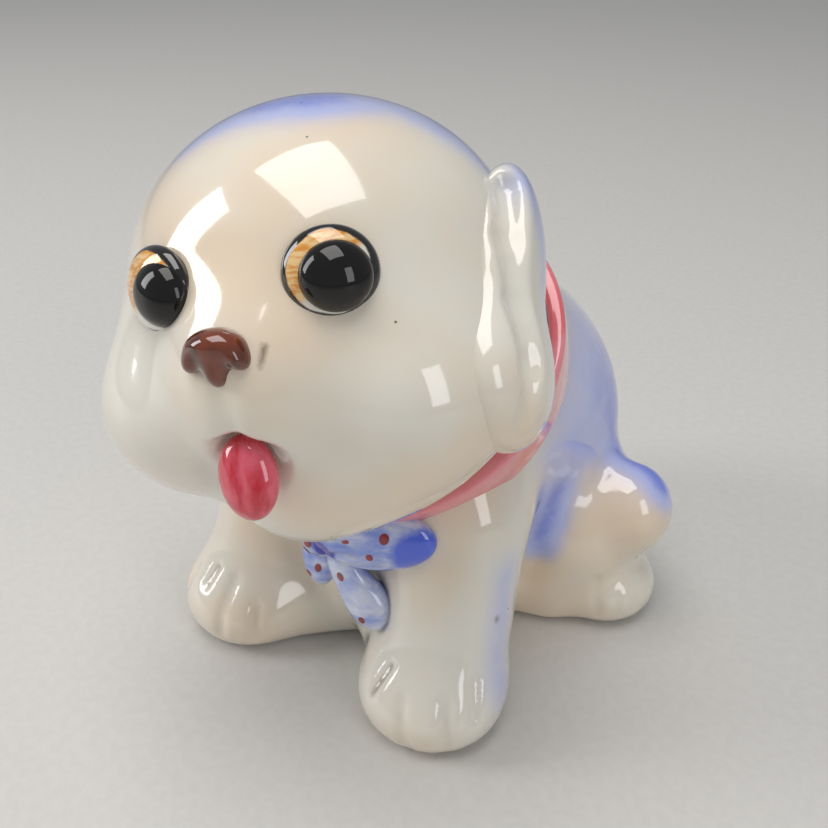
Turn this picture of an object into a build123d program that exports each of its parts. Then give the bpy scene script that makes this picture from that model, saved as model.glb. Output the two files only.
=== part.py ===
"""Seated puppy figurine, slip-cast and glazed.

Two hollow castings, the body and the head, are luted together at the neck. The ears, eyes, nose,
tongue, collar, bow and tail are solid clay pieces luted on before the firing.

Millimetres. +Z is up, the puppy faces -Y and its left side is +X. The origin is on the table, in
the middle of the figurine's footprint.
"""
import os

from build123d import *

# ---- clay
casting_wall = 4.5
base_thickness = 5.0
air_hole_radius = 3.5
floor_vent_radius = 4.0
floor_vent_place = (0, 28)

# ---- body: round masses as (centre, radius); those in pairs are given for the left side
neck_ball = ((0, 8, 61), 35.5)
chest_ball = ((0, 0, 40), 27.5)
belly_ball = ((0, 6, 16), 27)
back_ball = ((0, 24, 54), 33)
rump_ball = ((0, 31, 40), 37.5)
seat_ball = ((0, 33, 24), 34)
flank_ball = ((10, 0, 14), 22)
haunch_ball = ((32, 32, 18), 20)
knee_ball = ((46, 33, 30), 11.2)
hind_foot_ball = ((41, 30, 6), 13.5)
hind_toe_ball = ((46, 24, 4), 9.5)
shoulder_ball = ((25, -10, 48), 15.5)
paw_ball = ((28.5, -27, 6), 15)
inner_toe_ball = ((22.5, -31, 4), 11)
outer_toe_ball = ((34.5, -29.5, 4), 11)
ankle_centre = (28.5, -24, 4)
ankle_radius = 14

# ---- head, in its own axes: x to its left, y to its back, z to its crown
head_centre = (0.3, -27.7, 96.6)
head_turn = 17
head_lift = 18
head_tilt = 13
crown_left_ball = ((5, 5, 5), 35)
crown_right_ball = ((-3, 5, 5), 35)
crown_back_ball = ((1, 9, 6), 34)
brow_ball = ((1, 0, 6), 34.5)
cheek_ball = ((20, -9, -15), 22)
chin_ball = ((0, -12, -31), 14)
muzzle_ball = ((-1, -27, -9), 13.5)
lip_ball = ((-1, -21, -22), 13.5)
mouth_ball = ((-2.5, -35, -25), 8)

# ---- pieces on the head, in the head's axes
ear_top = (8, 15)
ear_top_radius = 11
ear_lobe = (5, -17)
ear_lobe_radius = 15.5
ear_inner_face = 29
ear_outer_face = 44
ear_edge_radius = 6
ear_lean = 9
eye_spacing = 16.2
eye_shift = 1.0
eye_depth = -25
eye_height = 7.3
eye_radius = 8.6
pupil_shift = (1.0, -5.2, -1)
pupil_radius = 5.9
nose_centre = (-1.5, -38.5, -3)
nose_lobe_spread = 2.6
nose_lobe_radius = 3.8
nose_tip_drop = 5
nose_tip_radius = 3.2
tongue_radius = 6
tongue_half_length = 2
tongue_seat = 1.5

# ---- collar: a flat band round the neck
collar_centre = (0.5, 0, 73.7)
collar_tilt = 40
collar_radius = 36
collar_width = 11
collar_depth = 7
collar_edge_radius = 2

# ---- bow under the chin: outlines as (x, z) from the middle of the knot
knot_ahead = 1.9
knot_below = 9.6
knot_radius = 5.5
bow_front_reach = 5
bow_back_reach = 9.5
bow_edge_radius = 1.8
loop_left_outline = ((2, 2), (9, 9), (26, 12), (28, 5), (21, -1), (10, -3))
loop_right_outline = ((-2, 1.5), (-8, 8), (-17, 6), (-17, -2), (-8, -3.5))
loop_corner_radius = 3
strip_left_outline = ((1, -1), (7, -2), (14.5, -21), (6, -23))
strip_right_outline = ((-4, -1), (0, -1), (1.5, -15), (-6, -14))
strip_corner_radius = 1.2

# ---- tail, a short stub curled up against the rump: (x, z) of its balls and how deep they sit
tail_root_place = (0, 20)
tail_root_depth = 6.5
tail_root_radius = 8
tail_tip_place = (1, 29)
tail_tip_depth = 3.5
tail_tip_radius = 6

neck_axis = Vector(0, -1, 0).rotate(Axis.X, collar_tilt - 90)
collar_profile_plane = Plane(collar_centre, x_dir=(1, 0, 0), z_dir=Vector(1, 0, 0).cross(neck_axis))
air_hole_depth = 4 * casting_wall
air_hole_plane = Plane(Vector(neck_ball[0]) + neck_axis * (neck_ball[1] + casting_wall), z_dir=neck_axis)
leg_line = Vector(shoulder_ball[0]) - Vector(ankle_centre)
leg_plane = Plane(ankle_centre, z_dir=leg_line)
head_place = Location(head_centre) * Rot(0, 0, head_turn) * Rot(-head_lift, 0, 0) * Rot(0, -head_tilt, 0)
collar_front = Vector(collar_centre) + Vector(0, -collar_radius, 0).rotate(Axis.X, collar_tilt)
knot_centre = Vector(0, collar_front.Y - knot_ahead, collar_front.Z - knot_below)
bow_plane = Plane(knot_centre + Vector(0, bow_back_reach, 0), x_dir=(1, 0, 0), z_dir=(0, -1, 0))
hind_end = max(centre[1] + radius for centre, radius in (rump_ball, seat_ball))
ear_plane = Plane((ear_inner_face, 0, 0), x_dir=(0, 1, 0), z_dir=Vector(1, 0, 0).rotate(Axis.Y, -ear_lean))

side_balls = (shoulder_ball, paw_ball, inner_toe_ball, outer_toe_ball, flank_ball, haunch_ball,
              knee_ball, hind_foot_ball, hind_toe_ball)
middle_balls = (chest_ball, neck_ball, back_ball, rump_ball, seat_ball, belly_ball)


body_poles = (35, 25, 53)
head_poles = (20, 30, 37)


def poles(count, turns=head_poles):
    """Turns the poles of each ball its own way, so that no two balls share a seam."""
    return (turns[0], turns[1], turns[2] * count)


def mirrored(centre, side):
    """A centre on the left (side = 1) or on the right (side = -1)."""
    return (side * centre[0], centre[1], centre[2])


def body_shape(thinner, floor):
    """The body's masses as one solid, made thinner all round and cut level at its floor."""
    with BuildPart() as shape:
        with Locations(leg_plane.location):
            Cone(ankle_radius - thinner, shoulder_ball[1] - thinner, leg_line.length,
                 align=(Align.CENTER, Align.CENTER, Align.MIN))
        for count, (centre, radius) in enumerate(side_balls):
            with Locations(centre):
                Sphere(radius - thinner, rotation=poles(count, body_poles))
        mirror(about=Plane.YZ)
        for count, (centre, radius) in enumerate(middle_balls):
            with Locations(centre):
                Sphere(radius - thinner, rotation=poles(count, body_poles))
        split(bisect_by=Plane.XY.offset(floor), keep=Keep.TOP)
    return shape.part


def head_shape(thinner):
    """The head's masses as one solid, made thinner all round, in the head's own axes."""
    cheeks = [(mirrored(cheek_ball[0], side), cheek_ball[1]) for side in (1, -1)]
    skull = (crown_left_ball, crown_right_ball, crown_back_ball, brow_ball)
    balls = (*skull, *cheeks, chin_ball, muzzle_ball, lip_ball)
    with BuildPart() as shape:
        for count, (centre, radius) in enumerate(balls):
            with Locations(centre):
                Sphere(radius - thinner, rotation=poles(count))
    return shape.part


def plate(outline, corner_radius):
    """A strip of ribbon clay: its outline cut straight back through the chest, corners rounded."""
    with BuildPart() as ribbon:
        with BuildSketch(bow_plane):
            with BuildLine():
                Polyline(*outline, close=True)
            make_face()
            fillet(vertices(), corner_radius)
        extrude(amount=bow_back_reach + bow_front_reach)
        fillet(ribbon.faces().sort_by(Axis.Y)[0].edges(), bow_edge_radius)
    return ribbon.part


# ---- outsides and hollows of the two castings
body_outside = body_shape(0, floor=0)
body_hollow = body_shape(casting_wall, floor=base_thickness)
head_hollow = head_shape(casting_wall).moved(head_place)
head_form = head_shape(0)
with BuildPart() as head_in_axes:
    add(head_form)
    with Locations(mouth_ball[0]):
        Sphere(mouth_ball[1], rotation=poles(1), mode=Mode.SUBTRACT)
head_outside = head_in_axes.part.moved(head_place)

with BuildPart() as body_casting:
    add(body_outside)
    add(body_hollow, mode=Mode.SUBTRACT)
    with Locations((*floor_vent_place, base_thickness)):
        Hole(floor_vent_radius, base_thickness)
    with Locations(air_hole_plane.location):
        Hole(air_hole_radius, air_hole_depth)

with BuildPart() as head_casting:
    add(head_outside)
    add(head_hollow, mode=Mode.SUBTRACT)
    add(body_outside, mode=Mode.SUBTRACT)

# ---- collar, laid round the neck where the castings meet
with BuildPart() as collar:
    with BuildSketch(collar_profile_plane):
        with Locations((collar_radius - collar_depth / 2, 0)):
            RectangleRounded(collar_depth, collar_width, collar_edge_radius)
    revolve(axis=Axis(collar_centre, neck_axis))
    add(body_outside, mode=Mode.SUBTRACT)
    add(head_outside, mode=Mode.SUBTRACT)

pieces = {
    "body_casting": body_casting.part,
    "head_casting": head_casting.part,
    "collar": collar.part,
}

# ---- bow, from the knot outwards, each piece pressed against the ones before it
with BuildPart() as knot:
    with Locations(knot_centre):
        Sphere(knot_radius, rotation=poles(1))
bow_forms = {
    "bow_knot": knot.part,
    "bow_loop_left": plate(loop_left_outline, loop_corner_radius),
    "bow_loop_right": plate(loop_right_outline, loop_corner_radius),
    "bow_tail_left": plate(strip_left_outline, strip_corner_radius),
    "bow_tail_right": plate(strip_right_outline, strip_corner_radius),
}
laid = [body_outside, head_outside, collar.part]
for name, form in bow_forms.items():
    with BuildPart() as bow_piece:
        add(form)
        for earlier in laid:
            add(earlier, mode=Mode.SUBTRACT)
    pieces[name] = bow_piece.part
    laid.append(form)

# ---- left ear as a rounded leaf in the head's axes; the right one is its mirror image
with BuildPart() as ear_leaf:
    with BuildSketch(ear_plane):
        with Locations(ear_top):
            Circle(ear_top_radius)
        with Locations(ear_lobe):
            Circle(ear_lobe_radius)
        make_hull()
    extrude(amount=ear_outer_face - ear_inner_face)
    fillet(ear_leaf.faces().sort_by(Axis(ear_plane.origin, ear_plane.z_dir))[-1].edges(), ear_edge_radius)

for side, hand in ((1, "left"), (-1, "right")):
    leaf = ear_leaf.part if side == 1 else ear_leaf.part.mirror(Plane.YZ)
    leaf_in_place = leaf.moved(head_place)
    with BuildPart() as ear:
        add(leaf_in_place)
        for earlier in (head_outside, body_outside, collar.part):
            add(earlier, mode=Mode.SUBTRACT)
    pieces["ear_" + hand] = ear.part

    eye_centre = Vector(side * eye_spacing + eye_shift, eye_depth, eye_height)
    with BuildPart() as eye:
        with Locations(eye_centre):
            Sphere(eye_radius, rotation=poles(1))
        add(head_form, mode=Mode.SUBTRACT)
    pieces["eye_" + hand] = eye.part.moved(head_place)
    with BuildPart() as pupil:
        with Locations(eye_centre + Vector(pupil_shift)):
            Sphere(pupil_radius, rotation=poles(2))
        with Locations(eye_centre):
            Sphere(eye_radius, rotation=poles(1), mode=Mode.SUBTRACT)
        add(head_form, mode=Mode.SUBTRACT)
    pieces["pupil_" + hand] = pupil.part.moved(head_place)

# ---- nose, tongue and tail
with BuildPart() as nose:
    for side in (-1, 1):
        with Locations(Vector(nose_centre) + Vector(side * nose_lobe_spread, 0, 0)):
            Sphere(nose_lobe_radius, rotation=poles(side))
    with Locations(Vector(nose_centre) - Vector(0, 0, nose_tip_drop)):
        Sphere(nose_tip_radius, rotation=poles(3))
    add(head_form, mode=Mode.SUBTRACT)
pieces["nose"] = nose.part.moved(head_place)

with BuildPart() as tongue:
    for side in (-1, 1):
        with Locations(Vector(mouth_ball[0]) + Vector(0, tongue_seat, side * tongue_half_length)):
            Sphere(tongue_radius, rotation=poles(side))
    add(head_in_axes.part, mode=Mode.SUBTRACT)
pieces["tongue"] = tongue.part.moved(head_place)

with BuildPart() as tail:
    with Locations((tail_root_place[0], hind_end - tail_root_depth, tail_root_place[1])):
        Sphere(tail_root_radius, rotation=poles(0))
    with Locations((tail_tip_place[0], hind_end - tail_tip_depth, tail_tip_place[1])):
        Sphere(tail_tip_radius, rotation=poles(1))
    add(body_outside, mode=Mode.SUBTRACT)
pieces["tail"] = tail.part

os.makedirs("parts", exist_ok=True)
for name, piece in pieces.items():
    piece.label = name
    export_step(piece, f"parts/{name}.step")
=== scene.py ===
"""Looks of the seated puppy figurine: glazed castings, painted eyes, collar and bow, on a pale table.

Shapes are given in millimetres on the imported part's own axes (+Z up, the puppy faces -Y, its left
side is +X) and become metres when a mesh is made.
"""
import math

import bpy
import numpy as np
from mathutils import Euler, Matrix, Vector


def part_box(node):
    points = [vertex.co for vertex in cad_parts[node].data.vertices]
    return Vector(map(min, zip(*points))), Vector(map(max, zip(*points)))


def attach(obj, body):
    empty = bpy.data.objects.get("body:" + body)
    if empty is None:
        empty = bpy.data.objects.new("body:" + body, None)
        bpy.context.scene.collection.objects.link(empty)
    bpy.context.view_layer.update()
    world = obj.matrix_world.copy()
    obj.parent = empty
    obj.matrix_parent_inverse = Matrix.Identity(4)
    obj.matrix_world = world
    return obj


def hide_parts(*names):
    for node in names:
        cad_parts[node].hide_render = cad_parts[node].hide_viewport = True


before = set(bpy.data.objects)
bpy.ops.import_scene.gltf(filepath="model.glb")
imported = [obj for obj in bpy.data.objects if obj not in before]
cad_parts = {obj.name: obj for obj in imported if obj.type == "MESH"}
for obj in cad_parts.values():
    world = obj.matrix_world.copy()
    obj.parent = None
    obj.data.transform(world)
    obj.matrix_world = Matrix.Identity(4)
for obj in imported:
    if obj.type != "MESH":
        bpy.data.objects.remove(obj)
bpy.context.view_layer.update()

bl_info = {
    "name": "Puppy Figurine",
    "version": (1, 0, 0),
    "blender": (4, 5, 0),
    "location": "View3D > Sidebar > Puppy",
    "description": "Builds the glazed puppy figurine piece by piece around its packed part",
    "category": "Object",
}

MM = 0.001


def box_mm(node):
    """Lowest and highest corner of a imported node, in millimetres."""
    low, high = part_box(node)
    return np.array(low) / MM, np.array(high) / MM


def box_middle(node):
    """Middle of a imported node's box, in millimetres."""
    low, high = box_mm(node)
    return (low + high) / 2


def turn(x=0.0, y=0.0, z=0.0):
    """A turn about X, then Y, then Z, in degrees, as a 3 x 3 array."""
    return np.array(Euler((math.radians(x), math.radians(y), math.radians(z))).to_matrix())


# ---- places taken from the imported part
HEAD_MIDDLE = box_middle("head_casting") + (-3.35, -1.7, -0.65)
HEAD_AXES = turn(z=17) @ turn(x=-18) @ turn(y=-13)
COLLAR_AXES = turn(x=40)
COLLAR_MIDDLE = box_middle("collar") + COLLAR_AXES @ (0, -2.3, -0.9)
KNOT_MIDDLE = box_middle("bow_knot") + (0, -0.5, 0)
TAIL_MIDDLE = box_middle("tail") + (0, -3.8, -0.5)


# ---- distances: negative inside, all on arrays of points
def egg(points, middle, radii, axes=None):
    """Distance to an ellipsoid."""
    away = points - np.asarray(middle, float)
    if axes is not None:
        away = away @ axes
    radii = np.asarray(radii, float)
    reach = np.linalg.norm(away / radii, axis=1)
    slope = np.linalg.norm(away / radii**2, axis=1)
    return reach * (reach - 1) / np.maximum(slope, 1e-9)


def rod(points, start, end, start_radius=0.0, end_radius=None):
    """Distance to a round rod that may taper."""
    start, end = np.asarray(start, float), np.asarray(end, float)
    end_radius = start_radius if end_radius is None else end_radius
    line = end - start
    share = np.clip((points - start) @ line / (line @ line), 0, 1)
    away = np.linalg.norm(points - start - share[:, None] * line, axis=1)
    return away - (start_radius + (end_radius - start_radius) * share)


def join(first, second, softness):
    """Two distances as one shape, with a soft valley where they meet."""
    near = np.maximum(softness - np.abs(first - second), 0) / softness
    return np.minimum(first, second) - near * near * softness / 4


def carve(first, second, softness):
    """The first shape with the second cut out of it, with a soft edge."""
    return -join(-first, second, softness)


def pressed(points, path, width, depth):
    """Height to add for a soft groove (or ridge, with a negative depth) along a path of points."""
    near = np.full(len(points), np.inf)
    for start, end in zip(path[:-1], path[1:]):
        near = np.minimum(near, rod(points, start, end))
    return depth * np.exp(-((near / width) ** 2))


def mirrored(points):
    """The points with both sides folded onto the left one."""
    return np.abs(points[:, :1]) * (1, 0, 0) + points * (0, 1, 1)


# ---- body casting
LIMBS = (
    (6, (32, 32, 20), (19, 20, 24)),
    (4, (46, 33, 30), (11, 11, 12)),
    (3, (41, 30.5, 7.5), (15, 13.5, 11)),
)
LEFT_TOES = (
    ((29.7, -40.7, 15.5), (31.7, -43.5, 8), (32, -43, 1)),
    ((38.3, -36.7, 15.9), (40.2, -39.4, 7), (40.5, -39, 1)),
    ((41.2, -29.5, 19.2), (43.8, -33.1, 11.6)),
)
RIGHT_TOES = (
    ((-24, -36.5, 19.8), (-24.2, -42.1, 12.8), (-24.2, -44, 5)),
    ((-17.5, -37, 14), (-16.5, -40, 6)),
    ((-38.3, -36.7, 15.9), (-40.2, -39.4, 7)),
)
CLAW_SLITS = (
    ((23.7, -37, 19.2), (21.6, -41.4, 13)),
    ((-30.2, -36.6, 20.6), (-31.6, -40, 16.2)),
)
HIND_TOES = (
    ((46.8, 18.5, 16), (47.8, 17, 3)),
    ((51.2, 21, 15.5), (52.5, 19.5, 3)),
    ((54.3, 25, 15), (55.8, 23.5, 3)),
)
THIGH_CREASE = ((39.6, 27.8, 41.8), (36, 18, 28), (31.1, 9.2, 15.2))


def body_form(points):
    """Distance to the body casting's outside."""
    side = mirrored(points)
    form = egg(points, (0, -2, 44), (31, 25, 36))
    form = join(form, egg(points, (0, 8, 62), (36, 36, 33.5)), 8)
    form = join(form, egg(points, (0, 32.5, 42), (38, 37, 42)), 14)
    form = join(form, egg(points, (0, 9, 14), (28, 31, 22)), 10)
    form = join(form, egg(side, (27, 22, 6), (15, 11, 12)), 8)
    form = join(form, egg(side, (17, -12, 5), (15, 17, 13)), 8)
    form = join(form, rod(side, (25, -11, 46), (28.5, -22, 16), 15, 14), 10)
    form = join(form, egg(side, (28.5, -28, 8), (17, 16, 12), turn(z=8)), 7)
    for softness, middle, radii in LIMBS:
        form = join(form, egg(side, middle, radii), softness)
    for groove in LEFT_TOES + RIGHT_TOES:
        form = form + pressed(points, groove, 1.4, 1.1)
    for slit in CLAW_SLITS:
        form = form + pressed(points, slit, 0.9, 2.4)
    for groove in HIND_TOES:
        form = form + pressed(side, groove, 1.2, 1.0)
    form = form + pressed(side, THIGH_CREASE, 2.6, 0.9)
    return carve(form, points[:, 2], 3)


def tail_form(points):
    """Distance to the tail, a stub curled up against the rump."""
    form = egg(points, TAIL_MIDDLE + (0, 0, -3), (6.5, 7, 8))
    return join(form, egg(points, TAIL_MIDDLE + (1, 0.5, 6), (5, 6, 5.5)), 5)


# ---- head casting, in the head's own axes
def on_head(points):
    """Points of the part's frame in the head's own axes."""
    return (points - HEAD_MIDDLE) @ HEAD_AXES


def off_head(points):
    """Points in the head's own axes back in the part's frame."""
    return np.asarray(points, float) @ HEAD_AXES.T + HEAD_MIDDLE


MOUTH = (-2.5, -34, -25)
PHILTRUM = ((-1.5, -42, -10), (-1.5, -40, -16), (-2, -37, -20))


def skull_form(q):
    """Distance to the head before the mouth is pressed in, in the head's axes."""
    form = egg(q, (1, 4, 6), (39, 38, 34.5))
    for side in (1, -1):
        form = join(form, egg(q, (side * 20, -9, -15), (22, 24, 20)), 12)
    form = join(form, egg(q, (0, -12, -32), (15, 15, 12)), 10)
    form = join(form, egg(q, (11, -10, -27.4), (17, 17, 12.4)), 8)
    return join(form, egg(q, (-1, -29, -9), (13, 12, 14)), 10)


def head_form(points):
    """Distance to the head casting's outside."""
    q = on_head(points)
    form = skull_form(q)
    form = form + pressed(q, PHILTRUM, 2.2, 1.3)
    return carve(form, egg(q, MOUTH, (6.8, 5, 8.6)), 2.5)


EAR_CHANNEL = ((40, 0.5, 19), (42, -7.5, 9.8), (44.3, -13, -1), (45.8, -15.5, -12), (45.5, -17.5, -21))
CHANNEL_RADIUS = 2.9
RIGHT_EAR_SHIFT = (-1, 5, 1)


def ear_form(points, side):
    """Distance to an ear that hangs flat against the head. side is 1 for the left one."""
    q = on_head(points) * (side, 1, 1)
    if side < 0:
        q = q - RIGHT_EAR_SHIFT
    form = egg(q, (37, 0.5, 0), (8, 14, 25), turn(x=-28, y=4))
    form = join(form, egg(q, (37.4, -8, -16.5), (8.8, 16.5, 12.6), turn(x=-24)), 8)
    for start, end in zip(EAR_CHANNEL[:-1], EAR_CHANNEL[1:]):
        form = carve(form, rod(q, start, end, CHANNEL_RADIUS), 2.2)
    return form


EYE_RADII = (8.2, 3.6, 7.8)
PUPIL_RADII = (6.2, 4.4, 5.9)
PUPIL_SHIFT = (1.5, -1.6, -0.7)


def eye_turn(side):
    """How far an eye looks outwards, as a turn of the head's axes."""
    return turn(z=22 * side)


def eye_middle(side):
    """Middle of the painted round of an eye, in the head's axes."""
    return np.array((side * 16.2 + 0.2, -30.6, 7.4))


def eye_form(points, side):
    """Distance to the painted round of an eye."""
    return egg(on_head(points), eye_middle(side), EYE_RADII, eye_turn(side))


def pupil_form(points, side):
    """Distance to the black dome of an eye."""
    return egg(on_head(points), eye_middle(side) + PUPIL_SHIFT, PUPIL_RADII, eye_turn(side))


NOSE_X = -1.5


def nose_form(points):
    """Distance to the three-lobed nose."""
    q = on_head(points)
    form = egg(q, (NOSE_X, -40, -2), (4.8, 4.4, 2.9))
    for side in (1, -1):
        form = join(form, egg(q, (NOSE_X + side * 4, -40, -4), (1.9, 3, 2.6), turn(y=-25 * side)), 2)
    return join(form, egg(q, (NOSE_X, -40.2, -5.4), (2.2, 3, 3.6)), 2)


def tongue_form(points):
    """Distance to the tongue."""
    q = on_head(points)
    form = egg(q, (-2.6, -33.5, -26), (5.6, 3.6, 7.8))
    return form + pressed(q, ((-2.4, -37, -19), (-2.2, -37, -30)), 1.0, 0.5)


# ---- bow, across the chest under the chin
def knot_form(points):
    """Distance to the bow's knot."""
    form = egg(points, KNOT_MIDDLE, (5, 4, 5))
    return form + pressed(points, (KNOT_MIDDLE + (1.5, -5, 5), KNOT_MIDDLE + (0.5, -5, -5)), 1, 0.6)


def loop_form(points, side):
    """Distance to one of the bow's two loops."""
    if side > 0:
        form = egg(points, (14, -30, 46), (15, 5, 8), turn(y=-12, z=15))
        folds = (((3, -34, 43), (15, -36, 48)), ((4, -34, 41), (14, -36, 43)))
    else:
        form = egg(points, (-9, -30, 43), (9, 5, 7))
        folds = (((-3, -35, 43), (-11, -36, 46)),)
    for fold in folds:
        form = form + pressed(points, fold, 1.1, 0.8)
    return form


def strip_form(points, side):
    """Distance to one of the bow's two hanging ends."""
    if side > 0:
        form = egg(points, (8.5, -30, 30), (4.6, 3.5, 11.5), turn(y=-36))
        form = join(form, egg(points, (12, -29, 25.5), (5.5, 3.5, 5.5), turn(y=-36)), 4)
        fold = ((2, -34, 38), (11, -34, 27))
    else:
        form = egg(points, (-2, -30, 33), (4.5, 3, 8))
        fold = ((-1, -34, 39), (-2, -34, 29))
    return form + pressed(points, fold, 1.0, 0.7)


# ---- meshes from distances
GRID_BLOCK = 4
PAD_STEP = 0.6
SMALL_MARGIN = 4
EAR_MARGIN = 16


def skin_of(form, low, high, step):
    """Points and faces over the surface of a form, by one point in each crossed cell of a grid."""
    low = np.asarray(low, float) - 2 * step
    span = np.asarray(high, float) + 2 * step - low
    counts = np.ceil(span / step / GRID_BLOCK).astype(int) * GRID_BLOCK
    axes = [low[i] + step * np.arange(counts[i]) for i in range(3)]
    coarse = [axis[::GRID_BLOCK] + step * (GRID_BLOCK - 1) / 2 for axis in axes]
    grid = np.stack(np.meshgrid(*coarse, indexing="ij"), -1)
    values = form(grid.reshape(-1, 3)).reshape(grid.shape[:3])
    for axis in range(3):
        values = np.repeat(values, GRID_BLOCK, axis)
    near = np.argwhere(np.abs(values) < 2.5 * GRID_BLOCK * step)
    values[tuple(near.T)] = form(low + near * step)

    inside = values < 0
    cells = np.zeros(np.array(values.shape) - 1, int)
    for corner in np.ndindex(2, 2, 2):
        window = tuple(slice(c, c + n) for c, n in zip(corner, cells.shape))
        cells += inside[window]
    crossed = np.argwhere((cells > 0) & (cells < 8))
    number = np.full(cells.shape, -1)
    number[tuple(crossed.T)] = np.arange(len(crossed))
    total, hits = np.zeros((len(crossed), 3)), np.zeros(len(crossed))
    for axis in range(3):
        along = np.eye(3, dtype=int)[axis]
        for corner in np.ndindex(2, 2, 2):
            if corner[axis]:
                continue
            start = crossed + corner
            first, last = values[tuple(start.T)], values[tuple((start + along).T)]
            cut = (first < 0) != (last < 0)
            share = first[cut] / (first[cut] - last[cut])
            total[cut] += start[cut] + share[:, None] * along
            hits += cut
    points = low + step * total / hits[:, None]

    faces = []
    for axis in range(3):
        along, across, up = (np.eye(3, dtype=int)[(axis + i) % 3] for i in range(3))
        head = tuple(slice(1, None) if i == axis else slice(None) for i in range(3))
        foot = tuple(slice(None, -1) if i == axis else slice(None) for i in range(3))
        edges = np.argwhere(inside[head] != inside[foot])
        ring = [edges, edges - across, edges - across - up, edges - up]
        quads = np.stack([number[tuple(cell.T)] for cell in ring], 1)
        outward = inside[tuple(edges.T)]
        quads[~outward] = quads[~outward][:, ::-1]
        faces.append(quads)
    return points, np.concatenate(faces)


def slope_of(form, points, reach=0.15):
    """The outward unit directions of a form at points."""
    steps = np.eye(3) * reach
    slope = np.stack([form(points + s) - form(points - s) for s in steps], 1)
    return slope / np.maximum(np.linalg.norm(slope, axis=1, keepdims=True), 1e-9)


def settled(form, points, faces, rounds=3):
    """The points evened out along the surface, then set exactly on it."""
    edges = np.concatenate([faces[:, [i, (i + 1) % 4]] for i in range(4)])
    count = np.bincount(edges.ravel(), minlength=len(points))[:, None]
    for _ in range(rounds):
        total = np.zeros_like(points)
        for axis in range(3):
            total[:, axis] = np.bincount(edges[:, 0], points[edges[:, 1], axis], len(points))
            total[:, axis] += np.bincount(edges[:, 1], points[edges[:, 0], axis], len(points))
        points = points + 0.5 * (total / count - points)
        for _ in range(2):
            points = points - slope_of(form, points) * np.clip(form(points), -0.5, 0.5)[:, None]
    return points


def cast_piece(name, form, low, high, step, marks=None):
    """A closed mesh object over a form, smooth, in metres, with its painted marks as attributes."""
    points, faces = skin_of(form, low, high, step)
    points = settled(form, points, faces)
    mesh = bpy.data.meshes.new(name)
    mesh.from_pydata((points * MM).tolist(), [], faces.tolist())
    mesh.shade_smooth()
    for label, strength in (marks or {}).items():
        layer = mesh.attributes.new(label, "FLOAT", "POINT")
        layer.data.foreach_set("value", strength(points).astype(np.float32))
    made = bpy.data.objects.new(name, mesh)
    bpy.context.scene.collection.objects.link(made)
    return made


def fit(made, material, slot, *nodes):
    """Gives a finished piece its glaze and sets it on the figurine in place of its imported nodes."""
    made.data.materials.clear()
    made.data.materials.append(material)
    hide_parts(*nodes)
    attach(made, "root")


# ---- painted marks, worked out at the mesh's points
def sprayed(points, strokes):
    """How much colour lies on each point, from soft strokes (path, radius, strength)."""
    bare = np.ones(len(points))
    for path, radius, strength in strokes:
        bare = bare * (1 - pressed(points, path, radius, strength))
    return 1 - bare


def pooled_and_shaded(points, own, others, reach=2.0):
    """How much a point sits in a hollow or beside another piece: pooled glaze, and painted shade that darkens
    the glaze there.
    """
    ahead = points + slope_of(own, points) * reach
    gap = own(ahead)
    for other in others:
        gap = np.minimum(gap, other(ahead))
    return np.clip(1 - gap / reach, 0, 1)


BODY_SPRAY = (
    (((34, 44, 50), (30, 50, 60)), 12, 0.97),
    (((0, 66, 58), (22, 58, 60)), 15, 0.7),
    (((38, 30, 58), (36, 14, 50)), 12, 0.42),
    (((36, 17, 67), (31, 36, 72)), 13, 0.3),
    (((34, 14, 42), (33, 12, 26)), 5, 0.72),
    (((42, 40, 43), (52, 36, 38)), 6.5, 0.85),
    (((42, -17, 40), (43, -24, 12)), 6, 0.3),
    (((0, 25, 80), (0, 50, 60)), 34, 0.28),
)
HEAD_SPRAY = (
    (((-14, -8, 38), (6, -8, 41)), 11, 0.85),
    (((6, -4, 41), (26, 4, 34)), 10, 0.5),
    (((28, 8, 34), (36, 12, 22)), 9, 0.8),
    (((0, 22, 38), (0, 38, 18)), 20, 0.7),
)
EAR_SPRAY = (
    (((42, 10, 17), (45.5, 7, 0), (46, 3, -12)), 6.5, 0.95),
)
# claw slits darkened brown as painted shade, and one real brown spot on the body
BODY_STAINS_AND_SHADE = tuple((slit, 0.9, 0.95) for slit in CLAW_SLITS) + (
    (((40.9, -21, 30.6), (41.2, -21, 29.8)), 0.8, 0.7),
)
HEAD_STAINS = (
    (((6.6, -38.6, -3), (5.6, -39, -6.4)), 0.8, 0.75),
    (((-5.8, -39.5, -5), (-5.4, -39.5, -6.5)), 0.8, 0.5),
)
# brown laid along the ear's channel: brown stain and painted shade in the groove
EAR_STAINS_AND_SHADE = (
    (EAR_CHANNEL[:3], 3.2, 0.4),
    ((EAR_CHANNEL[1], EAR_CHANNEL[1] + np.array((0, -1, -1.5))), 2.6, 0.5),
)


# ---- glazes
def linear(red, green, blue):
    """A colour given as 0-255 screen values, as the linear colour that shaders use."""
    def straight(value):
        value = value / 255
        return value / 12.92 if value <= 0.04045 else ((value + 0.055) / 1.055) ** 2.4
    return (straight(red), straight(green), straight(blue), 1.0)


def add_node(tree, kind, inputs=(), **settings):
    """Adds a node, sets its own settings, then sets or links its inputs by name or number."""
    made = tree.nodes.new(kind)
    for name, value in settings.items():
        setattr(made, name, value)
    for name, value in dict(inputs).items():
        if isinstance(value, bpy.types.NodeSocket):
            tree.links.new(value, made.inputs[name])
        else:
            made.inputs[name].default_value = value
    return made


def mixed(tree, factor, first, second):
    """A colour mix, as its output socket."""
    return add_node(tree, "ShaderNodeMix", {0: factor, 6: first, 7: second}, data_type="RGBA").outputs[2]


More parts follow.
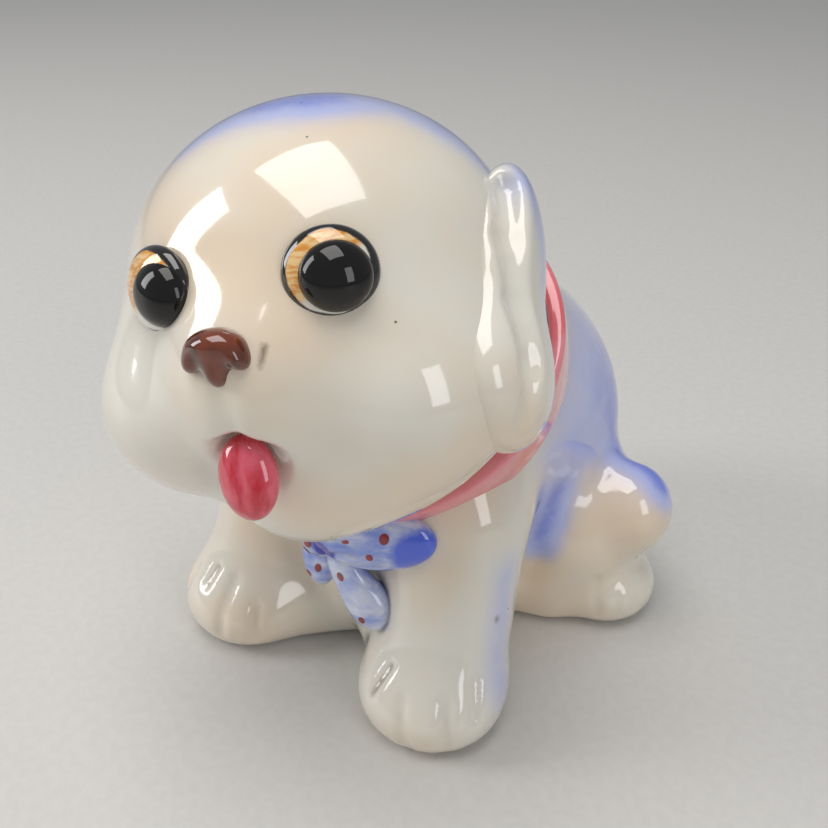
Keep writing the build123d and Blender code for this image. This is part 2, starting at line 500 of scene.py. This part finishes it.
def stepped(tree, value, low, high, low_out=0.0, high_out=1.0):
    """A value eased from one range to another, as its output socket."""
    limits = {"From Min": low, "From Max": high, "To Min": low_out, "To Max": high_out}
    ease = add_node(tree, "ShaderNodeMapRange", {"Value": value, **limits},
                    interpolation_type="SMOOTHSTEP")
    return ease.outputs["Result"]


def figured(tree, operation, first, second=0.0):
    """A sum worked out in the shader, as its output socket."""
    return add_node(tree, "ShaderNodeMath", {0: first, 1: second}, operation=operation).outputs[0]


def noise(tree, coordinates, scale, detail=2.0, roughness=0.5, distortion=0.0):
    """Cloudy noise at a scale in cells per metre, as its value socket."""
    made = add_node(tree, "ShaderNodeTexNoise", {"Vector": coordinates, "Scale": scale, "Detail": detail,
                                                 "Roughness": roughness, "Distortion": distortion})
    return made.outputs["Fac"]


def placed(tree, middle, axes, scale):
    """Object coordinates centred on a middle (mm), turned to axes and stretched, as a socket."""
    position = add_node(tree, "ShaderNodeTexCoord").outputs["Object"]
    angles = Matrix(axes.tolist()).to_euler()
    place = {"Location": Vector(middle) * MM, "Rotation": angles, "Scale": scale}
    mapping = add_node(tree, "ShaderNodeMapping", {"Vector": position, **place}, vector_type="TEXTURE")
    return mapping.outputs["Vector"]


def glaze(name, colour_of, gloss=0.1, ripple=0.05, coat=1.0):
    """A glazed clay finish. colour_of(tree, coordinates) returns the colour socket."""
    material = bpy.data.materials.new(name)
    material.use_nodes = True
    tree = material.node_tree
    tree.nodes.clear()
    position = add_node(tree, "ShaderNodeTexCoord").outputs["Object"]
    colour = colour_of(tree, position)
    smooth = stepped(tree, noise(tree, position, 90, 3), 0.3, 0.7, gloss * 0.7, gloss * 1.5)
    ripples = noise(tree, position, 260, 2)
    bump = add_node(tree, "ShaderNodeBump", {"Height": ripples, "Strength": ripple, "Distance": 0.0006})
    surface = add_node(tree, "ShaderNodeBsdfPrincipled",
                       {"Base Color": colour, "Roughness": smooth, "Normal": bump.outputs[0],
                        "Coat Weight": coat, "Coat Roughness": 0.03, "Coat IOR": 1.5, "IOR": 1.5})
    add_node(tree, "ShaderNodeOutputMaterial", {"Surface": surface.outputs[0]})
    return material


def mark(tree, name):
    """A painted mark's strength, as a socket."""
    return add_node(tree, "ShaderNodeAttribute", attribute_name=name).outputs["Fac"]


def white_colour(paint):
    """Cream glaze with airbrushed blue, brown stains with painted shade in the claw slits and ear channel,
    painted shade with pooled glaze in hollows and joins, pinholes and a few iron specks.
    """
    def colour_of(tree, position):
        cloud = noise(tree, position, 22, 3)
        base = mixed(tree, stepped(tree, cloud, 0.35, 0.65), paint.cream[:], paint.white[:])
        patchy = stepped(tree, noise(tree, position, 70, 4, 0.6, 0.4), 0.25, 0.75, 0.78, 1.12)
        spray = figured(tree, "MULTIPLY", mark(tree, "spray"), patchy)
        base = mixed(tree, stepped(tree, spray, 0.03, 0.45), base, paint.pale_blue[:])
        base = mixed(tree, stepped(tree, spray, 0.4, 0.95), base, paint.deep_blue[:])
        # brown in slits, grooves and spots: brown wash and nostril paint, with painted shade in the claw
        # slits and the ear channel
        base = mixed(tree, stepped(tree, mark(tree, "stain_and_shade"), 0.1, 0.9, 0.0, 0.9), base, paint.stain_and_shade[:])
        # hollows and joins darkened towards the pooled tone: painted shade together with pooled glaze
        base = mixed(tree, stepped(tree, mark(tree, "pool_and_shade"), 0.3, 1.0, 0.0, 0.6), base, paint.pooled_and_shaded[:])
        holes = add_node(tree, "ShaderNodeTexVoronoi", {"Vector": position, "Scale": 120.0})
        few = add_node(tree, "ShaderNodeSeparateColor", {"Color": holes.outputs["Color"]})
        hole = stepped(tree, holes.outputs["Distance"], 0.02, 0.045, 1.0, 0.0)
        hole = figured(tree, "MULTIPLY", hole, stepped(tree, few.outputs[0], 0.72, 0.76))
        base = mixed(tree, hole, base, paint.speck[:])
        return base
    return colour_of


def brushed_colour(light, dark, middle, axes, stretch, scale=120, accents=()):
    """Brush-painted colour: streaks between two tones that run along one of the piece's axes."""
    def colour_of(tree, position):
        along = placed(tree, middle, axes, stretch)
        streak = stepped(tree, noise(tree, along, scale, 4, 0.6, 0.3), 0.35, 0.65)
        base = mixed(tree, streak, light, dark)
        for place, radius, colour in accents:
            near = add_node(tree, "ShaderNodeVectorMath",
                            {0: position, 1: Vector(place) * MM}, operation="DISTANCE").outputs["Value"]
            uneven = figured(tree, "MULTIPLY", noise(tree, position, 400, 3), 2 * MM)
            ragged = figured(tree, "ADD", near, uneven)
            full, none = (radius * 0.75 + 1) * MM, (radius * 1.2 + 1) * MM
            soft = stepped(tree, ragged, full, none, 1.0, 0.0)
            base = mixed(tree, soft, base, colour)
        return base
    return colour_of


def eye_colour(paint, side):
    """Amber eye with a white corner inside a hand-painted black outline."""
    def colour_of(tree, position):
        middle, axes = off_head(eye_middle(side)), HEAD_AXES @ eye_turn(side)
        width, _, height = EYE_RADII
        local = placed(tree, middle, axes, (width * MM, width * MM, height * MM))
        split = add_node(tree, "ShaderNodeSeparateXYZ", {"Vector": local})
        x, z = split.outputs["X"], split.outputs["Z"]
        flat = add_node(tree, "ShaderNodeCombineXYZ", {"X": x, "Z": z}).outputs[0]
        reach = add_node(tree, "ShaderNodeVectorMath", {0: flat}, operation="LENGTH").outputs["Value"]
        wobble = figured(tree, "MULTIPLY", figured(tree, "SUBTRACT", noise(tree, local, 1.6, 3), 0.5), 0.16)
        reach = figured(tree, "ADD", reach, wobble)
        up, outward = figured(tree, "MULTIPLY", z, 0.75), figured(tree, "MULTIPLY", x, 0.6)
        corner = figured(tree, "SUBTRACT", up, outward)
        brush = noise(tree, placed(tree, middle, axes, (3 * MM, 3 * MM, 0.9 * MM)), 1.0, 4)
        amber = mixed(tree, stepped(tree, brush, 0.4, 0.62), paint.amber[:], paint.pale_amber[:])
        edge = figured(tree, "ADD", corner, figured(tree, "MULTIPLY", brush, 0.25))
        base = mixed(tree, stepped(tree, edge, 0.0, 0.2), paint.white[:], amber)
        base = mixed(tree, stepped(tree, reach, 0.84, 0.88), base, paint.black[:])
        return base
    return colour_of


def black_colour(paint):
    """Black enamel with a faint cloud in it."""
    def colour_of(tree, position):
        return mixed(tree, noise(tree, position, 300, 3), paint.black[:], linear(22, 18, 18))
    return colour_of


# ---- settings
def colour_property(name, description, colour):
    """A colour a user can change."""
    return bpy.props.FloatVectorProperty(name=name, description=description, subtype="COLOR", size=4,
                                         min=0, max=1, default=linear(*colour))


def length_property(name, description, millimetres):
    """A length a user can change, shown in the scene's units."""
    return bpy.props.FloatProperty(name=name, description=description, default=millimetres * MM,
                                   min=0, unit="LENGTH", subtype="DISTANCE", precision=4)


class PuppyPaint(bpy.types.PropertyGroup):
    """Colours of the glazes and enamels."""
    cream: colour_property("Cream", "Warm tone of the clear glaze over the clay", (236, 216, 190))
    white: colour_property("White", "Cool tone of the clear glaze over the clay", (232, 228, 216))
    # darker tone laid in hollows and beside neighbouring pieces: pooled glaze and painted shade
    pooled_and_shaded: colour_property("Pooled glaze", "Tone of the glaze where it lies thick", (168, 158, 140))
    # brown laid in slits, grooves and spots: real brown wash, and painted shade in the claw slits and the ear
    # channel
    stain_and_shade: colour_property("Stain", "Brown wash left in slits and grooves", (116, 92, 62))
    speck: colour_property("Speck", "Colour of pinholes and iron specks", (92, 78, 62))
    pale_blue: colour_property("Pale blue", "Thin airbrushed blue", (186, 194, 238))
    deep_blue: colour_property("Deep blue", "Full airbrushed blue", (98, 122, 226))
    amber: colour_property("Amber", "Strong brush stroke on the eyes", (214, 142, 48))
    pale_amber: colour_property("Pale amber", "Thin brush stroke on the eyes", (238, 200, 140))
    black: colour_property("Black", "Black enamel of the pupils and outlines", (6, 5, 6))
    nose: colour_property("Nose brown", "Enamel of the nose", (66, 18, 6))
    nose_worn: colour_property("Nose edge", "Nose enamel where it runs thin", (120, 52, 22))
    tongue: colour_property("Tongue red", "Strong red of the tongue", (200, 22, 44))
    tongue_thin: colour_property("Tongue pink", "Thin red of the tongue", (226, 92, 110))
    collar: colour_property("Collar pink", "Strong pink of the collar", (224, 100, 110))
    collar_thin: colour_property("Collar light pink", "Thin pink of the collar", (236, 142, 150))
    bow: colour_property("Bow blue", "Strokes of blue on the bow", (128, 150, 226))
    bow_thin: colour_property("Bow light blue", "Thin glaze of the bow", (214, 220, 238))
    bow_accent: colour_property("Bow accent", "Strong blue in the bow's folds", (28, 32, 176))
    bow_end: colour_property("Bow end", "Blue at the outer end of the loop", (66, 96, 222))
    dot: colour_property("Dot crimson", "Painted dots on the bow", (150, 12, 30))


class PuppyShape(bpy.types.PropertyGroup):
    """Sizes of the meshes and of the pieces that follow a rule."""
    casting_step: length_property("Casting step", "Distance between points on the two castings", 0.9)
    small_step: length_property("Small piece step", "Distance between points on the small pieces", 0.35)
    collar_radius: length_property("Collar radius", "Radius of the collar's middle line", 37.3)
    collar_width: length_property("Collar width", "Width of the collar's band", 12.5)
    collar_depth: length_property("Collar depth", "Thickness of the collar's band", 3.6)
    collar_slant: bpy.props.FloatProperty(name="Collar slant", description="How far the band opens downwards",
                                          default=math.radians(8.5), subtype="ANGLE")
    collar_edge: length_property("Collar edge", "Rounding of the collar's edges", 1.2)
    dot_radius: length_property("Dot radius", "Radius of the bow's painted dots", 1.05)
    dot_height: length_property("Dot height", "How far a dot stands off the ribbon", 0.14)
    dot_seed: bpy.props.IntProperty(name="Dot seed", description="Changes how the dots differ", default=4)


class PuppyStage(bpy.types.PropertyGroup):
    """Table, lights and camera."""
    table_size: length_property("Table size", "Side of the table top", 6000)
    table: colour_property("Table", "Colour of the table", (214, 212, 208))
    light: bpy.props.FloatProperty(name="Light", description="Strength of all lights", default=1.0, min=0)
    lens: bpy.props.FloatProperty(name="Lens", description="Focal length of the camera", default=43.48,
                                  unit="CAMERA")


# ---- operators, one for each piece or group of like pieces
class PUPPY_OT_body(bpy.types.Operator):
    """Casts the body with its legs and paws, and the tail"""
    bl_idname = "puppy.body"
    bl_label = "Body and tail"

    def execute(self, context):
        paint, shape = context.scene.puppy_paint, context.scene.puppy_shape
        material = glaze("fired_white", white_colour(paint))
        low, high = box_mm("body_casting")
        marks = {
            "spray": lambda p: sprayed(mirrored(p), BODY_SPRAY),
            # brown in the claw slits as painted shade, and one brown spot
            "stain_and_shade": lambda p: sprayed(p, BODY_STAINS_AND_SHADE),
            # painted shade where the body meets the head, with pooled glaze in the body's hollows
            "pool_and_shade": lambda p: pooled_and_shaded(p, body_form, [head_form]),
        }
        body = cast_piece("body", body_form, low - (1, 5, 2), high + (1, 3, 4),
                          shape.casting_step / MM, marks)
        fit(body, material, "white_glaze", "body_casting")
        low, high = box_mm("tail")
        marks = {
            "spray": lambda p: sprayed(p, (((TAIL_MIDDLE, TAIL_MIDDLE + (0, 0, 12)), 7, 0.8),)),
            # painted shade where the tail meets the body
            "pool_and_shade": lambda p: pooled_and_shaded(p, tail_form, [body_form]),
        }
        tail = cast_piece("tail_stub", tail_form, low - 12, high + 6, PAD_STEP, marks)
        fit(tail, material, "white_glaze", "tail")
        return {"FINISHED"}


class PUPPY_OT_head(bpy.types.Operator):
    """Casts the head and lays both ears on it"""
    bl_idname = "puppy.head"
    bl_label = "Head and ears"

    def execute(self, context):
        shape = context.scene.puppy_shape
        material = bpy.data.materials["fired_white"]
        low, high = box_mm("head_casting")
        marks = {
            "spray": lambda p: sprayed(on_head(p), HEAD_SPRAY),
            "stain_and_shade": lambda p: sprayed(on_head(p), HEAD_STAINS),
            # painted shade where the head meets the body, with pooled glaze in the head's hollows
            "pool_and_shade": lambda p: pooled_and_shaded(p, head_form, [body_form]),
        }
        head = cast_piece("head", head_form, low - 4, high + 4, shape.casting_step / MM, marks)
        fit(head, material, "white_glaze", "head_casting")
        for side, hand in ((1, "left"), (-1, "right")):
            def form(points, side=side):
                return ear_form(points, side)
            low, high = box_mm("ear_" + hand)
            marks = {
                "spray": lambda p, side=side: sprayed(on_head(p) * (side, 1, 1), EAR_SPRAY),
                # brown stain and painted shade along the ear's channel
                "stain_and_shade": lambda p, side=side: sprayed(on_head(p) * (side, 1, 1), EAR_STAINS_AND_SHADE),
                # painted shade where the ear lies against the head, with pooled glaze in its channel
                "pool_and_shade": lambda p, form=form: pooled_and_shaded(p, form, [head_form]),
            }
            ear = cast_piece("ear_" + hand + "_pad", form, low - EAR_MARGIN, high + EAR_MARGIN,
                             PAD_STEP, marks)
            fit(ear, material, "white_glaze", "ear_" + hand)
        return {"FINISHED"}


class PUPPY_OT_eyes(bpy.types.Operator):
    """Makes the painted eye rounds and their black domes"""
    bl_idname = "puppy.eyes"
    bl_label = "Eyes"

    def execute(self, context):
        paint, step = context.scene.puppy_paint, context.scene.puppy_shape.small_step / MM
        black = glaze("fired_black", black_colour(paint), 0.05, 0.01, coat=0)
        for side, hand in ((1, "left"), (-1, "right")):
            painted = glaze("fired_eye_" + hand, eye_colour(paint, side), 0.06, 0.02)
            for kind, end, form, material in (("eye", "round", eye_form, painted),
                                              ("pupil", "dome", pupil_form, black)):
                node = kind + "_" + hand
                low, high = box_mm(node)
                piece = cast_piece(node + "_" + end, lambda p, form=form, side=side: form(p, side),
                                   low - SMALL_MARGIN, high + SMALL_MARGIN, step)
                fit(piece, material, kind + "_glaze", node)
        return {"FINISHED"}


class PUPPY_OT_nose(bpy.types.Operator):
    """Makes the three-lobed nose and the tongue"""
    bl_idname = "puppy.nose"
    bl_label = "Nose and tongue"

    def execute(self, context):
        paint, step = context.scene.puppy_paint, context.scene.puppy_shape.small_step / MM
        low, high = box_mm("nose")
        nose = cast_piece("nose_pad", nose_form, low - SMALL_MARGIN, high + SMALL_MARGIN, step)
        colour = brushed_colour(paint.nose[:], paint.nose_worn[:], box_middle("nose"), HEAD_AXES,
                                (1, 1, 2.5), 160)
        fit(nose, glaze("fired_brown", colour, 0.06, 0.03), "nose_glaze", "nose")
        low, high = box_mm("tongue")
        tongue = cast_piece("tongue_tip", tongue_form, low - SMALL_MARGIN, high + SMALL_MARGIN, step)
        colour = brushed_colour(paint.tongue[:], paint.tongue_thin[:], box_middle("tongue"), HEAD_AXES,
                                (1, 1, 3), 260)
        fit(tongue, glaze("fired_red", colour, 0.08, 0.06), "tongue_glaze", "tongue")
        return {"FINISHED"}


def socket_id(tree, name):
    """The identifier of a node group's input, from its name."""
    return next(item.identifier for item in tree.interface.items_tree
                if item.in_out == "INPUT" and item.name == name)


def group_with(name, inputs):
    """An empty geometry node group with its geometry sockets and named inputs (kind, default)."""
    tree = bpy.data.node_groups.new(name, "GeometryNodeTree")
    tree.interface.new_socket("Geometry", in_out="INPUT", socket_type="NodeSocketGeometry")
    tree.interface.new_socket("Geometry", in_out="OUTPUT", socket_type="NodeSocketGeometry")
    for label, (kind, default) in inputs.items():
        made = tree.interface.new_socket(label, in_out="INPUT", socket_type=kind)
        made.default_value = default
    return tree, add_node(tree, "NodeGroupInput"), add_node(tree, "NodeGroupOutput")


def grown(name, mesh, tree, values, material):
    """A plain mesh object grown by a geometry node group from a starting mesh."""
    holder = bpy.data.objects.new(name + "_holder", mesh)
    bpy.context.scene.collection.objects.link(holder)
    modifier = holder.modifiers.new("grow", "NODES")
    modifier.node_group = tree
    for label, value in values.items():
        modifier[socket_id(tree, label)] = value
    modifier[socket_id(tree, "Finish")] = material
    bpy.context.view_layer.update()
    evaluated = holder.evaluated_get(bpy.context.evaluated_depsgraph_get())
    made = bpy.data.objects.new(name, bpy.data.meshes.new_from_object(evaluated))
    made.data.name = name
    bpy.data.objects.remove(holder)
    bpy.context.scene.collection.objects.link(made)
    return made


def collar_tree():
    """Node group that sweeps a rounded band round the neck."""
    size, vector = "NodeSocketFloat", "NodeSocketVector"
    tree, given, result = group_with("collar_band", {
        "Radius": (size, 0.0348), "Width": (size, 0.011), "Depth": (size, 0.0034), "Edge": (size, 0.0012),
        "Slant": (size, 0.15), "Turn": (vector, (0, 0, 0)), "Middle": (vector, (0, 0, 0)),
        "Finish": ("NodeSocketMaterial", None)})
    ring = add_node(tree, "GeometryNodeCurvePrimitiveCircle",
                    {"Resolution": 200, "Radius": given.outputs["Radius"]})
    band = add_node(tree, "GeometryNodeCurvePrimitiveQuadrilateral",
                    {"Width": given.outputs["Depth"], "Height": given.outputs["Width"]})
    rounded = add_node(tree, "GeometryNodeFilletCurve",
                       {"Curve": band.outputs[0], "Radius": given.outputs["Edge"], "Count": 6}, mode="POLY")
    lean = add_node(tree, "ShaderNodeCombineXYZ", {"Z": given.outputs["Slant"]})
    leant = add_node(tree, "GeometryNodeTransform",
                     {"Geometry": rounded.outputs[0], "Rotation": lean.outputs[0]})
    sweep = add_node(tree, "GeometryNodeCurveToMesh",
                     {"Curve": ring.outputs[0], "Profile Curve": leant.outputs[0]})
    place = add_node(tree, "GeometryNodeTransform", {"Geometry": sweep.outputs[0],
                                                     "Rotation": given.outputs["Turn"],
                                                     "Translation": given.outputs["Middle"]})
    smooth = add_node(tree, "GeometryNodeSetShadeSmooth", {"Geometry": place.outputs[0]})
    real = add_node(tree, "GeometryNodeRealizeInstances", {"Geometry": smooth.outputs[0]})
    finish = add_node(tree, "GeometryNodeSetMaterial",
                      {"Geometry": real.outputs[0], "Material": given.outputs["Finish"]})
    tree.links.new(finish.outputs[0], result.inputs[0])
    return tree


class PUPPY_OT_collar(bpy.types.Operator):
    """Sweeps the collar's band round the neck"""
    bl_idname = "puppy.collar"
    bl_label = "Collar"

    def execute(self, context):
        paint, shape = context.scene.puppy_paint, context.scene.puppy_shape
        colour = brushed_colour(paint.collar[:], paint.collar_thin[:], COLLAR_MIDDLE, COLLAR_AXES,
                                (1, 1, 0.35), 45)
        material = glaze("fired_pink", colour, 0.12, 0.08)
        turned = Matrix(COLLAR_AXES.tolist()).to_euler()
        collar = grown("collar_band", bpy.data.meshes.new("collar_start"), collar_tree(), {
            "Radius": shape.collar_radius, "Width": shape.collar_width, "Depth": shape.collar_depth,
            "Edge": shape.collar_edge, "Slant": shape.collar_slant, "Turn": tuple(turned),
            "Middle": tuple(COLLAR_MIDDLE * MM)}, material)
        fit(collar, material, "collar_glaze", "collar")
        return {"FINISHED"}


BOW_FORMS = {
    "bow_knot": knot_form,
    "bow_loop_left": lambda p: loop_form(p, 1),
    "bow_loop_right": lambda p: loop_form(p, -1),
    "bow_tail_left": lambda p: strip_form(p, 1),
    "bow_tail_right": lambda p: strip_form(p, -1),
}


class PUPPY_OT_bow(bpy.types.Operator):
    """Makes the bow's knot, loops and hanging ends"""
    bl_idname = "puppy.bow"
    bl_label = "Bow"

    def execute(self, context):
        paint, shape = context.scene.puppy_paint, context.scene.puppy_shape
        accents = ((KNOT_MIDDLE + (4, -4, 0), 3.2, paint.bow_accent[:]),
                   (KNOT_MIDDLE + (1, -4, -4), 1.8, paint.bow_accent[:]),
                   (box_mm("bow_loop_left")[1] + (-1, -8, -6), 6.5, paint.bow_end[:]))
        colour = brushed_colour(paint.bow_thin[:], paint.bow[:], KNOT_MIDDLE, turn(y=-12), (4, 1, 1), 160,
                                accents)
        material = glaze("fired_ribbon", colour, 0.08, 0.05)
        for name, form in BOW_FORMS.items():
            low, high = box_mm(name)
            piece = cast_piece(name + "_form", form, low - 7, high + 5, shape.small_step / MM)
            fit(piece, material, "bow_glaze", name)
        return {"FINISHED"}


DOTS_START_Y = -50.0
DOTS_OFF_BY = 0.05
DOTS = (
    (19.5, 50), (16.5, 44.5), (10.5, 46.4), (-0.4, 41.2), (-0.1, 32.3), (6.8, 33.4), (13, 24), (-2, 37.5),
    (-7, 45), (-12, 42), (-3.5, 29),
)


def bow_form(points):
    """Distance to the whole bow."""
    return np.min([form(points) for form in BOW_FORMS.values()], axis=0)


def dot_places():
    """Where the dots sit on the front of the bow, in millimetres, and which way each faces."""
    spots = np.array([(x, DOTS_START_Y, z) for x, z in DOTS])
    for _ in range(80):
        spots[:, 1] += bow_form(spots) * 0.8
    if np.abs(bow_form(spots)).max() > DOTS_OFF_BY:
        raise ValueError("a dot lies off the bow")
    return spots, slope_of(bow_form, spots)


def dot_tree():
    """Node group that lays a flat enamel dot on each point, facing along its normal."""
    size = "NodeSocketFloat"
    tree, given, result = group_with("bow_dots", {
        "Dot radius": (size, 0.001), "Dot height": (size, 0.0001), "Seed": ("NodeSocketInt", 4),
        "Finish": ("NodeSocketMaterial", None)})
    ball = add_node(tree, "GeometryNodeMeshUVSphere", {"Segments": 20, "Rings": 10, "Radius": 1.0})
    radius, height = given.outputs["Dot radius"], given.outputs["Dot height"]
    flat = add_node(tree, "ShaderNodeCombineXYZ", {"X": radius, "Y": radius, "Z": height})
    dot = add_node(tree, "GeometryNodeTransform",
                   {"Geometry": ball.outputs["Mesh"], "Scale": flat.outputs[0]})
    facing = add_node(tree, "GeometryNodeInputNamedAttribute", {"Name": "facing"}, data_type="FLOAT_VECTOR")
    aim = add_node(tree, "FunctionNodeAlignRotationToVector", {"Vector": facing.outputs[0]}, axis="Z")
    vary = add_node(tree, "FunctionNodeRandomValue",
                    {0: (0.8, 0.95, 0.9), 1: (1.15, 1.35, 1.1), "Seed": given.outputs["Seed"]},
                    data_type="FLOAT_VECTOR")
    laid = add_node(tree, "GeometryNodeInstanceOnPoints", {
        "Points": given.outputs["Geometry"], "Instance": dot.outputs[0], "Rotation": aim.outputs[0],
        "Scale": vary.outputs[0]})
    smooth = add_node(tree, "GeometryNodeSetShadeSmooth", {"Geometry": laid.outputs[0]})
    real = add_node(tree, "GeometryNodeRealizeInstances", {"Geometry": smooth.outputs[0]})
    finish = add_node(tree, "GeometryNodeSetMaterial",
                      {"Geometry": real.outputs[0], "Material": given.outputs["Finish"]})
    tree.links.new(finish.outputs[0], result.inputs[0])
    return tree


class PUPPY_OT_dots(bpy.types.Operator):
    """Lays the painted dots on the bow"""
    bl_idname = "puppy.dots"
    bl_label = "Dots on the bow"

    def execute(self, context):
        paint, shape = context.scene.puppy_paint, context.scene.puppy_shape
        colour = brushed_colour(paint.dot[:], linear(120, 8, 22), KNOT_MIDDLE, turn(), (1, 1, 1), 500)
        material = glaze("dot_enamel", colour, 0.08, 0.03)
        spots, facing = dot_places()
        start = bpy.data.meshes.new("dot_points")
        start.from_pydata((spots * MM).tolist(), [], [])
        layer = start.attributes.new("facing", "FLOAT_VECTOR", "POINT")
        layer.data.foreach_set("vector", facing.astype(np.float32).ravel())
        dots = grown("bow_dots", start, dot_tree(), {
            "Dot radius": shape.dot_radius, "Dot height": shape.dot_height, "Seed": shape.dot_seed}, material)
        fit(dots, material, "bow_glaze")
        return {"FINISHED"}


LIT_POINT = (0, 0, 0.07)
LAMPS = (
    ("overhead", (-0.05, -0.1, 0.9), (0.7, 0.5), 4, (1, 0.98, 0.95)),
    ("window", (-0.8, -0.55, 0.55), (0.35, 0.7), 4.2, (1, 1, 1)),
    ("fill", (0.9, -0.3, 0.45), (0.3, 0.6), 1.6, (0.95, 0.97, 1)),
)
ROOM_COLOUR = (0.85, 0.87, 0.9, 1)
ROOM_STRENGTH = 0.38
CAMERA_PLACE = (0.1216, -0.1628, 0.182)
CAMERA_DIP = 31.5
CAMERA_TURN = 36
SENSOR_WIDTH = 36


def area_light(name, place, size, power, colour):
    """A soft rectangular lamp that shines at the puppy."""
    lamp = bpy.data.lights.new(name, "AREA")
    lamp.shape = "RECTANGLE"
    lamp.size, lamp.size_y = size
    lamp.energy, lamp.color = power, colour
    holder = bpy.data.objects.new(name, lamp)
    holder.location = place
    holder.rotation_euler = (Vector(LIT_POINT) - Vector(place)).to_track_quat("-Z", "Y").to_euler()
    bpy.context.scene.collection.objects.link(holder)


class PUPPY_OT_stage(bpy.types.Operator):
    """Sets the pale table, the soft lights and the camera"""
    bl_idname = "puppy.stage"
    bl_label = "Table, lights and camera"

    def execute(self, context):
        stage = context.scene.puppy_stage
        half = stage.table_size / 2
        mesh = bpy.data.meshes.new("table")
        mesh.from_pydata([(-half, -half, 0), (half, -half, 0), (half, half, 0), (-half, half, 0)], [],
                         [(0, 1, 2, 3)])
        table = bpy.data.objects.new("table", mesh)
        context.scene.collection.objects.link(table)
        material = bpy.data.materials.new("table_matt")
        material.use_nodes = True
        tree = material.node_tree
        surface = tree.nodes["Principled BSDF"]
        position = add_node(tree, "ShaderNodeTexCoord").outputs["Object"]
        grain = noise(tree, position, 400, 4)
        flecks = stepped(tree, grain, 0.3, 0.7, 0.0, 0.25)
        colour = mixed(tree, flecks, stage.table[:], linear(196, 194, 190))
        tree.links.new(colour, surface.inputs["Base Color"])
        surface.inputs["Roughness"].default_value = 0.55
        mesh.materials.append(material)

        world = bpy.data.worlds.new("studio")
        world.use_nodes = True
        backdrop = world.node_tree.nodes["Background"]
        backdrop.inputs["Color"].default_value = ROOM_COLOUR
        backdrop.inputs["Strength"].default_value = ROOM_STRENGTH * stage.light
        context.scene.world = world
        for name, place, size, power, colour in LAMPS:
            area_light(name, place, size, power * stage.light, colour)

        lens = bpy.data.cameras.new("camera")
        lens.lens, lens.sensor_width = stage.lens, SENSOR_WIDTH
        lens.clip_start = 0.01
        camera = bpy.data.objects.new("camera", lens)
        camera.location = CAMERA_PLACE
        camera.rotation_euler = (math.radians(90 - CAMERA_DIP), 0, math.radians(CAMERA_TURN))
        context.scene.collection.objects.link(camera)
        context.scene.camera = camera
        context.scene.view_settings.view_transform = "Standard"
        return {"FINISHED"}


class PUPPY_PT_panel(bpy.types.Panel):
    """Lists the figurine's pieces and settings"""
    bl_label = "Puppy Figurine"
    bl_idname = "PUPPY_PT_panel"
    bl_space_type = "VIEW_3D"
    bl_region_type = "UI"
    bl_category = "Puppy"

    def draw(self, context):
        for operator in OPERATORS:
            self.layout.operator(operator.bl_idname)
        for group in ("puppy_shape", "puppy_paint", "puppy_stage"):
            settings = getattr(context.scene, group)
            for name in settings.bl_rna.properties.keys():
                if name not in {"rna_type", "name"}:
                    self.layout.prop(settings, name)


OPERATORS = (PUPPY_OT_body, PUPPY_OT_head, PUPPY_OT_eyes, PUPPY_OT_nose, PUPPY_OT_collar, PUPPY_OT_bow,
             PUPPY_OT_dots, PUPPY_OT_stage)
SETTINGS = {"puppy_paint": PuppyPaint, "puppy_shape": PuppyShape, "puppy_stage": PuppyStage}
CLASSES = (*SETTINGS.values(), *OPERATORS, PUPPY_PT_panel)


def register():
    for kind in CLASSES:
        bpy.utils.register_class(kind)
    for name, kind in SETTINGS.items():
        setattr(bpy.types.Scene, name, bpy.props.PointerProperty(type=kind))


def unregister():
    for name in SETTINGS:
        delattr(bpy.types.Scene, name)
    for kind in reversed(CLASSES):
        bpy.utils.unregister_class(kind)


def main():
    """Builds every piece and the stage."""
    register()
    for operator in OPERATORS:
        group, name = operator.bl_idname.split(".")
        getattr(getattr(bpy.ops, group), name)()


if __name__ == "__main__":
    main()
